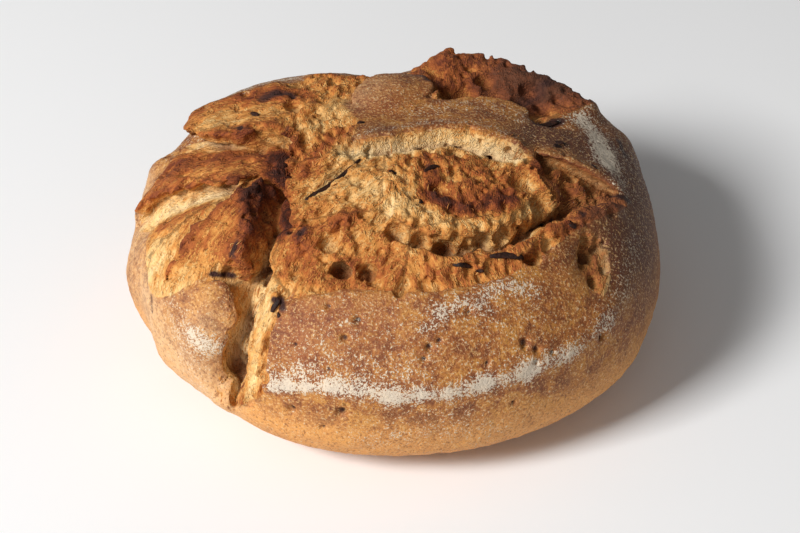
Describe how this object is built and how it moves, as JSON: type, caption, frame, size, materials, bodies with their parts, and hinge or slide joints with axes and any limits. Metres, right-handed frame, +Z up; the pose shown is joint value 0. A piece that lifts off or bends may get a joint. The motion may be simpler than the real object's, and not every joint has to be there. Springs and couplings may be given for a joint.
{
  "type": "country loaf",
  "caption": "Round rustic country loaf with a burst top: folded crust plates, a raised ear and deep tears that bare the crumb.",
  "frame": {"origin": "middle of the loaf's box, on the table it rests on", "axes": "+Z up; -Y towards the side with the broad smooth front crust and the ear's open face; +X to the right seen from there"},
  "size_m": [0.2362, 0.2324, 0.1048],
  "materials": {
    "crust": "matte baked crust, floury, with golden torn crumb in the tears"
  },
  "bodies": {
    "root": {"loaf": "crust"}
  },
  "joints": []
}
